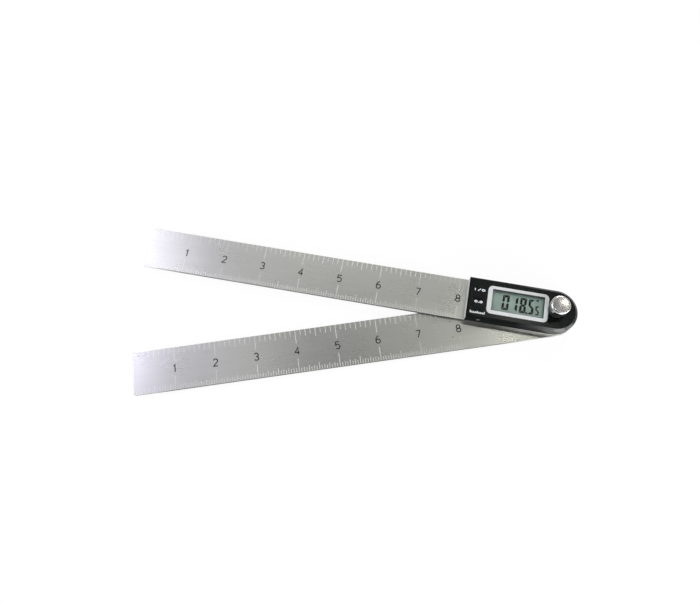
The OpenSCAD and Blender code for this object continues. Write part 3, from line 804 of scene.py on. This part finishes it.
class RuleArm:
    """One steel arm with its graduations and numerals."""

    def __init__(self, bench: Bench, side: str, where: ArmFrame, top_z: float) -> None:
        """Notes the arm's place.

        Args:
            bench: Makes and dresses the pieces.
            side: "lower" or "upper", which names the node and its finishes.
            where: The arm's frame.
            top_z: Height of the arm's upper face.
        """
        self.bench, self.side, self.name = bench, side, f"{side}_arm"
        self.where, self.top_z = where, top_z
        self.sizes = ScaleSizes()

    def build(self) -> None:
        """Dresses the steel and adds the scale."""
        blade = self.bench.dress(self.name, f"steel_{self.side}", 0.12, 2)
        blade.data.materials.append(self.bench.finishes[f"edge_{self.side}"])
        # The side walls take the edge finish, with its painted shade along the edge and its painted highlight near the
        # pivot and the tip.
        for face in blade.data.polygons:
            if abs(face.normal.z) < WALL_RISE:
                face.material_index = 1
        self.graduations()
        self.numerals()

    def line_length(self, step: int, steps: int, lengths: Sequence[float]) -> float:
        """Returns the length of a graduation from how evenly its step halves the inch."""
        if step % steps == 0:
            return self.sizes.inch_length
        rank = 0
        while step % 2 == 0:
            step //= 2
            rank += 1
        return lengths[min(rank, len(lengths) - 1)]

    def graduations(self) -> None:
        """Adds the etched lines along both edges."""
        s = self.sizes
        build = bmesh.new()
        for edge, steps, lengths in ((ArmEdge.TOP, s.coarse_steps, s.coarse_lengths),
                                     (ArmEdge.BOTTOM, s.fine_steps, s.fine_lengths)):
            for step in range(1, s.inches * steps + 1):
                u = s.arm_length - step * s.inch / steps
                outer = edge.value * (s.half_width - s.edge_gap)
                inner = edge.value * (s.half_width - self.line_length(step, steps, lengths))
                half = s.line_width / 2
                corners = ((u - half, outer), (u + half, outer), (u + half, inner), (u - half, inner))
                add_prism(build, [self.where.point(a, b, self.top_z) for a, b in corners], s.proud)
        made = self.bench.mesh(f"{self.name}_graduations", build, "tick_etch", self.where.body)
        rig.slot(made, "arm_steel")

    def numerals(self) -> None:
        """Adds the inch numerals on the arm's middle line, and the lower arm's two dots."""
        s, digits = self.sizes, Numerals()
        build = bmesh.new()
        for number in range(1, s.inches + 1):
            u = s.arm_length - number * s.inch
            digits.draw(build, self.where, number, u, 0.0, s.numeral, self.top_z, s.proud)
        if self.side == "lower":
            for v in (s.dot_v, -s.dot_v):
                ring = arc(s.dot_u, v, s.dot_radius, s.dot_radius, 0, 340, 17)
                add_prism(build, [self.where.point(a, b, self.top_z) for a, b in ring], s.proud)
        made = self.bench.mesh(f"{self.name}_numerals", build, "numeral_ink", self.where.body)
        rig.slot(made, "arm_steel")


# ---- The housing ----


@dataclass(frozen=True)
class HousingSizes:
    """Sizes of the marks on the housing, in millimetres."""

    end_u: float = 54.15
    top_z: float = 11.35
    print_proud: float = 0.02
    mark_u: float = 47.4
    switch_mark_v: float = 5.2
    zero_mark_v: float = -2.7
    scale_mark_v: float = -9.6
    mark_height: float = 1.55
    mark_stroke: float = 0.46
    bar_x: float = -2.9
    slash_x: Point2 = (-1.2, 0.5)
    ring_x: float = 2.2
    ring_radius: float = 0.95
    zero_x: float = 1.55
    zero_radius: float = 0.75
    point_half: float = 0.25
    rule_half: float = 4.6
    rule_step: float = 1.08
    rule_lines: int = 9
    rule_short: float = 0.25


class Housing:
    """The black cover with its printed marks, its tray and the screws that hold it."""

    def __init__(self, bench: Bench, where: ArmFrame) -> None:
        """Keeps the housing's place."""
        self.bench, self.where, self.sizes = bench, where, HousingSizes()

    def build(self) -> None:
        """Dresses the pieces and prints the marks."""
        cover = self.bench.dress("housing_cover", "housing_black", 0.22, 3)
        # The square end takes a pale grey painted reflection.
        cover.data.materials.append(self.bench.finishes["end_face_grey"])
        self.paint_end_reflection(cover)
        self.bench.dress("housing_tray", "tray_black")
        self.bench.dress("cover_screws", "screw_steel")
        self.bench.dress("side_screws", "screw_steel", 0.12, 2)
        self.marks()

    def paint_end_reflection(self, cover: bpy.types.Object) -> None:
        """Paints the square end wall pale grey: a painted reflection that stands in for light mirrored in the black
        end.
        """
        for face in cover.data.polygons:
            u, _ = self.where.to_uv(face.center)
            if u > self.sizes.end_u - 0.02:
                face.material_index = 1

    def marks(self) -> None:
        """Prints plain marks beside the buttons: a switch sign, a zero and a short rule."""
        s = self.sizes
        build = bmesh.new()
        half = s.mark_height / 2
        foot = -half + s.mark_stroke / 2

        def stroke(path: Sequence[Point2], v: float) -> None:
            """Adds one stroke whose x runs towards the pivot."""
            placed = [(s.mark_u - x, v + y) for x, y in path]
            add_stroke(build, self.where, placed, s.mark_stroke, s.top_z, s.print_proud)

        stroke([(s.bar_x, -half), (s.bar_x, half)], s.switch_mark_v)
        stroke([(s.slash_x[0], -half), (s.slash_x[1], half)], s.switch_mark_v)
        stroke(arc(s.ring_x, 0, s.ring_radius, -foot, 0, 360, 18), s.switch_mark_v)
        for x in (-s.zero_x, s.zero_x):
            stroke(arc(x, 0, s.zero_radius, -foot, 0, 360, 18), s.zero_mark_v)
        p = s.point_half
        stroke([(-p, p - half), (p, p - half)], s.zero_mark_v)
        stroke([(-s.rule_half, foot), (s.rule_half, foot)], s.scale_mark_v)
        for i in range(s.rule_lines):
            x = (i - s.rule_lines // 2) * s.rule_step
            stroke([(x, foot), (x, half if i % 4 == 0 else s.rule_short)], s.scale_mark_v)
        made = self.bench.mesh("housing_marks", build, "label_white", Body.UPPER_ARM)
        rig.slot(made, "housing_black")


# ---- The display ----


@dataclass(frozen=True)
class SegmentDigit:
    """One display digit: its middle, its size and which segments are dark."""

    u: float
    v: float
    width: float
    height: float
    lit: str


@dataclass(frozen=True)
class DisplaySizes:
    """Sizes of the display, in millimetres."""

    glass_z: float = 9.4
    ink_proud: float = 0.02
    stroke: float = 1.42
    lean: float = 0.05
    digits: tuple[SegmentDigit, ...] = (
        SegmentDigit(30.65, 0.3, 4.2, 9.9, "abcdef"),
        SegmentDigit(25.3, 0.3, 4.2, 9.9, "bc"),
        SegmentDigit(19.9, 0.25, 4.0, 9.9, "abcdefg"),
        SegmentDigit(14.95, 0.15, 3.4, 9.7, "afgcd"),
        SegmentDigit(11.05, -1.7, 2.4, 6.0, "afgcd"),
    )
    point_u: float = 17.4
    point_v: float = -4.25
    degree_u: float = 11.2
    degree_v: float = 4.9
    degree_r: float = 0.55
    degree_stroke: float = 0.45
    point_half: float = 0.55
    bezel_z: float = 11.55
    opening_half_length: float = 15.9
    opening_half_width: float = 6.8
    # Painted shade round the opening on the bezel's face, as (u0, u1, v0, v1) strips: thickest along the top and at
    # the end towards the pivot, where the recess throws its shadow.
    recess_shade_proud: float = 0.03
    gasket: tuple[tuple[float, float, float, float], ...] = (
        (7.3, 39.4, 6.35, 7.20), (7.3, 7.95, -6.7, 6.35), (39.25, 39.4, -6.7, 6.35),
        (7.3, 39.4, -6.8, -6.65),
    )


class Display:
    """The bezel, its clear window and the glass with its reading."""

    def __init__(self, bench: Bench, where: ArmFrame) -> None:
        """Keeps the display's place."""
        self.bench, self.where, self.sizes = bench, where, DisplaySizes()

    def build(self) -> None:
        """Dresses the pieces and draws the reading."""
        bezel = self.bench.dress("display_bezel", "bezel_grey", 0.18, 3)
        bezel.data.materials.append(self.bench.finishes["mask_black"])
        self.paint_recess_shade(bezel)
        self.bench.dress("display_window", "window_clear")
        self.bench.dress("display_glass", "display_grey")
        self.bench.dress("contact_strips", "strip_rubber")
        self.reading()
        self.gasket()

    def paint_recess_shade(self, bezel: bpy.types.Object) -> None:
        """Blackens the walls of the opening, which the window sits in: painted shade that stands in for the shadow
        inside the recess.
        """
        lo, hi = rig.box("display_window")
        middle = (lo + hi) / 2
        cu, cv = self.where.to_uv(middle)
        for face in bezel.data.polygons:
            u, v = self.where.to_uv(face.center)
            inside = (abs(u - cu) < self.sizes.opening_half_length
                      and abs(v - cv) < self.sizes.opening_half_width)
            if inside and abs(face.normal.z) < WALL_RISE:
                face.material_index = 1

    def segments(self, digit: SegmentDigit) -> dict[str, list[Point2]]:
        """Returns the outline of each segment, with x to the right and y up."""
        w, h = digit.width / 2, digit.height / 2
        t = self.sizes.stroke * digit.height / 9.8
        cut, gap = t * 0.5, 0.12

        def bar(x0: float, x1: float, y: float, inner: int) -> list[Point2]:
            """A level segment whose ends are cut back on its inner side."""
            y0, y1 = (y, y - t) if inner < 0 else (y, y + t)
            if inner == 0:
                return [(x0 + cut, y + t / 2), (x1 - cut, y + t / 2), (x1, y), (x1 - cut, y - t / 2),
                        (x0 + cut, y - t / 2), (x0, y)]
            return [(x0 + gap, y0), (x1 - gap, y0), (x1 - gap - t, y1), (x0 + gap + t, y1)]

        def post(x: float, y0: float, y1: float, side: int) -> list[Point2]:
            """An upright segment whose outer end is cut back on its inner side."""
            xi = x - side * t
            outer, middle = (y1, y0) if abs(y1) > abs(y0) else (y0, y1)
            way = 1 if outer > 0 else -1
            return [(x, outer - way * gap), (x, middle + way * (gap + cut)),
                    (x - side * cut, middle + way * gap), (xi, middle + way * (gap + cut)),
                    (xi, outer - way * (gap + t))]

        return {
            "a": bar(-w, w, h, -1), "d": bar(-w, w, -h, 1), "g": bar(-w + cut, w - cut, 0, 0),
            "f": post(-w, 0, h, -1), "b": post(w, 0, h, 1),
            "e": post(-w, -h, 0, -1), "c": post(w, -h, 0, 1),
        }

    def reading(self) -> None:
        """Draws the digits, the point and the degree sign on the glass."""
        s = self.sizes
        build = bmesh.new()

        def outline(points: Sequence[Point2], u: float, v: float) -> None:
            """Adds one flat shape that leans with the digits."""
            placed = [self.where.point(u - (x + s.lean * y), v + y, s.glass_z) for x, y in points]
            add_prism(build, placed, s.ink_proud)

        for digit in s.digits:
            shapes = self.segments(digit)
            for letter in digit.lit:
                outline(shapes[letter], digit.u, digit.v)
        p = s.point_half
        outline([(-p, -p), (p, -p), (p, p), (-p, p)], s.point_u, s.point_v)
        ring = arc(0, 0, s.degree_r, s.degree_r, 0, 360, 12)
        add_stroke(build, self.where, [(s.degree_u - x, s.degree_v + y) for x, y in ring],
                   s.degree_stroke, s.glass_z, s.ink_proud)
        made = self.bench.mesh("display_reading", build, "segment_ink", Body.UPPER_ARM)
        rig.slot(made, "display_grey")

    def gasket(self) -> None:
        """Lays black strips round the opening, on the bezel's face: painted shade standing in for the shadow of a
        deeper recess, thickest along the top and at the end towards the pivot.
        """
        s = self.sizes
        build = bmesh.new()
        for u0, u1, v0, v1 in s.gasket:
            corners = ((u0, v0), (u0, v1), (u1, v1), (u1, v0))
            add_prism(build, [self.where.point(u, v, s.bezel_z) for u, v in corners], s.recess_shade_proud)
        made = self.bench.mesh("window_gasket", build, "mask_black", Body.UPPER_ARM)
        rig.slot(made, "bezel_grey")


# ---- Buttons, knob, pivot, battery bay and circuit ----


class DressedGroup:
    """A sub-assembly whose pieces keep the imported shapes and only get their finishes."""

    PIECES: tuple[tuple, ...] = ()

    def __init__(self, bench: Bench) -> None:
        """Keeps the bench."""
        self.bench = bench

    def build(self) -> None:
        """Dresses each piece: node, finish and, where it has one, its edge rounding."""
        for piece in self.PIECES:
            self.bench.dress(*piece)


class Keypad(DressedGroup):
    """The two buttons and the domes under them."""

    PIECES = (("power_button", "button_black", 0.22, 3), ("zero_button", "button_black", 0.22, 3),
              ("switch_domes", "can_metal", 0.1, 2))


@dataclass(frozen=True)
class KnobSizes:
    """Profile of the lock knob's cap, in millimetres."""

    radius: float = 5.9
    bottom_z: float = 18.15
    top_z: float = 22.348
    dish: float = 0.24
    foot_round: float = 0.3
    rim_round: float = 1.1
    bore_r: float = 4.2
    bore_top_z: float = 20.65
    turn_steps: int = 128
    crown_steps: int = 24


class LockKnob:
    """The grip with its polished cap, the threaded insert and the washer under it."""

    def __init__(self, bench: Bench) -> None:
        """Keeps the bench and the sizes."""
        self.bench, self.sizes = bench, KnobSizes()

    def profile(self) -> list[Point2]:
        """Returns the (radius, height) line from the bore's mouth over the rim to the dished top."""
        s = self.sizes
        foot = [(s.radius - s.foot_round + s.foot_round * math.sin(t),
                 s.bottom_z + s.foot_round - s.foot_round * math.cos(t))
                for t in (math.radians(a) for a in range(0, 91, 15))]
        rim = [(s.radius - s.rim_round + s.rim_round * math.cos(t),
                s.top_z - s.rim_round + s.rim_round * math.sin(t))
               for t in (math.radians(a) for a in range(0, 91, 9))]
        crown_r = s.radius - s.rim_round
        crown = [(crown_r * (1 - share), s.top_z - s.dish * (1 - (1 - share) ** 2))
                 for share in (i / s.crown_steps for i in range(1, s.crown_steps + 1))]
        bore = [(0.0, s.bore_top_z), (s.bore_r, s.bore_top_z), (s.bore_r, s.bottom_z)]
        return bore + foot + rim + crown

    def build(self) -> None:
        """Makes the turned cap and dresses the pieces it works with."""
        s = self.sizes
        build = bmesh.new()
        line = self.profile()
        rings = []
        for r, z in line:
            if r < 1e-9:
                rings.append([build.verts.new((0, 0, z * MM))])
                continue
            turns = (2 * math.pi * i / s.turn_steps for i in range(s.turn_steps))
            rings.append([build.verts.new((r * math.cos(t) * MM, r * math.sin(t) * MM, z * MM))
                          for t in turns])
        for a, b in zip(rings, rings[1:]):
            for i in range(s.turn_steps):
                j = (i + 1) % s.turn_steps
                corners = [a[i % len(a)], a[j % len(a)], b[j % len(b)], b[i % len(b)]]
                build.faces.new(list(dict.fromkeys(corners)))
        made = self.bench.mesh("knob_cap_turned", build, "knob_chrome", Body.KNOB, smooth=True)
        made.modifiers.new("edge_split", "EDGE_SPLIT").split_angle = math.radians(50)
        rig.replaces(made, "knob_cap")
        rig.slot(made, "knob_chrome")
        self.bench.dress("knob_grip", "knob_black", 0.1, 2)
        self.bench.dress("knob_insert", "contact_brass")
        self.bench.dress("pressure_washer", "turned_steel", 0.08, 2)


class Pivot(DressedGroup):
    """The spindle, its screws, the bush, the slip washer and the encoder's rotor."""

    PIECES = (("pivot_spindle", "turned_steel", 0.06, 2), ("pivot_screws", "screw_steel"),
              ("pivot_bush", "bush_bronze"), ("slip_washer", "dark_fibre"),
              ("encoder_rotor", "board_green"))


class BatteryBay(DressedGroup):
    """The coin cell, its contacts and the round cover in the upper arm."""

    PIECES = (("battery_cover", "cover_black", 0.1, 2), ("coin_cell", "cell_steel", 0.2, 3),
              ("cell_contact_top", "contact_brass"), ("cell_contact_side", "contact_brass"))


class Circuit(DressedGroup):
    """The board and what is soldered to it."""

    PIECES = (("circuit_board", "board_green"), ("encoder_stator", "stator_copper"),
              ("controller_chip", "chip_black"), ("clock_crystal", "can_metal"),
              ("chip_capacitors", "capacitor_tan"), ("board_screws", "screw_steel"))


# ---- The studio ----


@dataclass(frozen=True)
class CameraSizes:
    """Where the photograph was taken from; lengths in millimetres, angles in degrees."""

    azimuth: float = -4.75
    elevation: float = 70.69
    roll: float = -3.44
    distance: float = 408.0
    target: tuple[float, float, float] = (-124.2, 27.5, 0.0)
    focal_pixels: float = 638.0
    image_width: float = 700.0
    sensor: float = 36.0


@dataclass(frozen=True)
class SoftLight:
    """A flat soft light; places and sizes in millimetres, power in watts."""

    name: str
    place: tuple[float, float, float]
    aim: tuple[float, float, float]
    size: tuple[float, float]
    power: float
    colour: Colour = (1.0, 1.0, 1.0)


class Studio:
    """White floor, soft lights, sky and camera."""

    SKY = 0.25
    BACKDROP = 0.98
    FLOOR_HALF = 6.0
    FLOOR_Z = -0.0002
    LIGHTS = (
        SoftLight("upper_tip_softbox", (-540, 500, 800), (-240, 60, 0), (160, 160), 0.50,
                  (0.88, 0.86, 1.0)),
        SoftLight("lower_tip_softbox", (-640, 260, 780), (-250, 0, 0), (120, 120), 0.74, (0.83, 0.80, 1.0)),
        SoftLight("north_softbox", (-130, 560, 900), (-130, 30, 0), (400, 300), 0.26, (1.0, 1.0, 0.95)),
        SoftLight("pivot_softbox", (205, 195, 850), (-30, -10, 0), (70, 60), 0.14, (1.0, 1.0, 0.88)),
        SoftLight("lower_softbox", (-330, 215, 830), (-190, 0, 0), (140, 140), 0.071),
        SoftLight("middle_softbox", (0, 240, 870), (-105, 0, 0), (140, 140), 0.030, (1.0, 1.0, 0.88)),
        SoftLight("fill_softbox", (380, 760, 600), (-40, 0, 0), (300, 300), 5.5),
        SoftLight("south_softbox", (100, -760, 520), (-60, 0, 0), (400, 400), 1.5),
        SoftLight("west_softbox", (-700, 150, 260), (-30, 0, 10), (400, 200), 2.2),
        SoftLight("bevel_softbox", (143, -539, 155), (0, 0, 8), (403, 200), 3.3),
        SoftLight("corner_softbox", (470, -370, 60), (0, 0, 8), (300, 120), 0.85),
    )

    def __init__(self) -> None:
        """Keeps the camera's sizes."""
        self.camera = CameraSizes()

    def build(self) -> None:
        """Makes floor, sky, lights and camera."""
        self.floor()
        self.sky()
        for light in self.LIGHTS:
            self.lamp(light)
        self.place_camera()
        bpy.context.scene.view_settings.view_transform = "Standard"

    def floor(self) -> None:
        """Lays the white floor just under the object."""
        build = bmesh.new()
        bmesh.ops.create_grid(build, x_segments=1, y_segments=1, size=self.FLOOR_HALF)
        data = bpy.data.meshes.new("studio_floor")
        build.to_mesh(data)
        build.free()
        made = bpy.data.objects.new("studio_floor", data)
        made.location.z = self.FLOOR_Z
        bpy.context.scene.collection.objects.link(made)
        data.materials.append(FloorFinish().build())
        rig.stage(made)

    def sky(self) -> None:
        """Fills the room with an even pale light, in front of a white backdrop."""
        world = bpy.data.worlds.new("studio_sky")
        bpy.context.scene.world = world
        world.use_nodes = True
        tree = world.node_tree
        room = tree.nodes["Background"]
        backdrop = tree.nodes.new("ShaderNodeBackground")
        for white, strength in ((room, self.SKY), (backdrop, self.BACKDROP)):
            white.inputs["Color"].default_value = (1.0, 1.0, 1.0, 1.0)
            white.inputs["Strength"].default_value = strength
        path = tree.nodes.new("ShaderNodeLightPath")
        mixed = tree.nodes.new("ShaderNodeMixShader")
        tree.links.new(path.outputs["Is Camera Ray"], mixed.inputs[0])
        tree.links.new(room.outputs[0], mixed.inputs[1])
        tree.links.new(backdrop.outputs[0], mixed.inputs[2])
        tree.links.new(mixed.outputs[0], tree.nodes["World Output"].inputs["Surface"])

    def lamp(self, light: SoftLight) -> None:
        """Hangs one soft light and aims it."""
        data = bpy.data.lights.new(light.name, "AREA")
        data.shape = "RECTANGLE"
        data.size, data.size_y = light.size[0] * MM, light.size[1] * MM
        data.energy = light.power
        data.color = light.colour
        made = bpy.data.objects.new(light.name, data)
        made.location = Vector(light.place) * MM
        way = (Vector(light.aim) - Vector(light.place)).normalized()
        made.rotation_euler = way.to_track_quat("-Z", "Y").to_euler()
        bpy.context.scene.collection.objects.link(made)
        log.info("hung %s", light.name)

    def place_camera(self) -> None:
        """Puts the camera where the photograph was taken from."""
        c = self.camera
        az, el, roll = (math.radians(a) for a in (c.azimuth, c.elevation, c.roll))
        back = Vector((math.sin(az) * math.cos(el), -math.cos(az) * math.cos(el), math.sin(el)))
        level = Vector((0, 0, 1)).cross(back).normalized()
        rise = back.cross(level)
        right = math.cos(roll) * level + math.sin(roll) * rise
        up = -math.sin(roll) * level + math.cos(roll) * rise
        data = bpy.data.cameras.new("camera")
        data.sensor_width = c.sensor
        data.lens = c.focal_pixels / c.image_width * c.sensor
        data.clip_start, data.clip_end = 0.01, 50.0
        made = bpy.data.objects.new("camera", data)
        turn = Matrix((right, up, back)).transposed().to_4x4()
        place = (Vector(c.target) + back * c.distance) * MM
        made.matrix_world = Matrix.Translation(place) @ turn
        bpy.context.scene.collection.objects.link(made)
        bpy.context.scene.camera = made


@dataclass(frozen=True)
class Layout:
    """How the two arms stand."""

    opening: float = 18.55
    lower_top_z: float = 2.0
    upper_top_z: float = 4.2

    def lower(self) -> ArmFrame:
        """Returns the lower arm's frame."""
        return ArmFrame(0.0, Body.LOWER_ARM)

    def upper(self) -> ArmFrame:
        """Returns the upper arm's frame."""
        return ArmFrame(math.radians(self.opening), Body.UPPER_ARM)


def main() -> None:
    """Builds the looks in order."""
    logging.basicConfig(level=logging.INFO, format="%(message)s")
    write_size("cad")
    layout = Layout()
    lower, upper = layout.lower(), layout.upper()
    bench = Bench(Finishes(upper.turn))
    RuleArm(bench, "lower", lower, layout.lower_top_z).build()
    RuleArm(bench, "upper", upper, layout.upper_top_z).build()
    Housing(bench, upper).build()
    Display(bench, upper).build()
    LockKnob(bench).build()
    for group in (Pivot, Keypad, BatteryBay, Circuit):
        group(bench).build()
    Studio().build()
    write_size("visual")


if __name__ == "__main__":
    main()
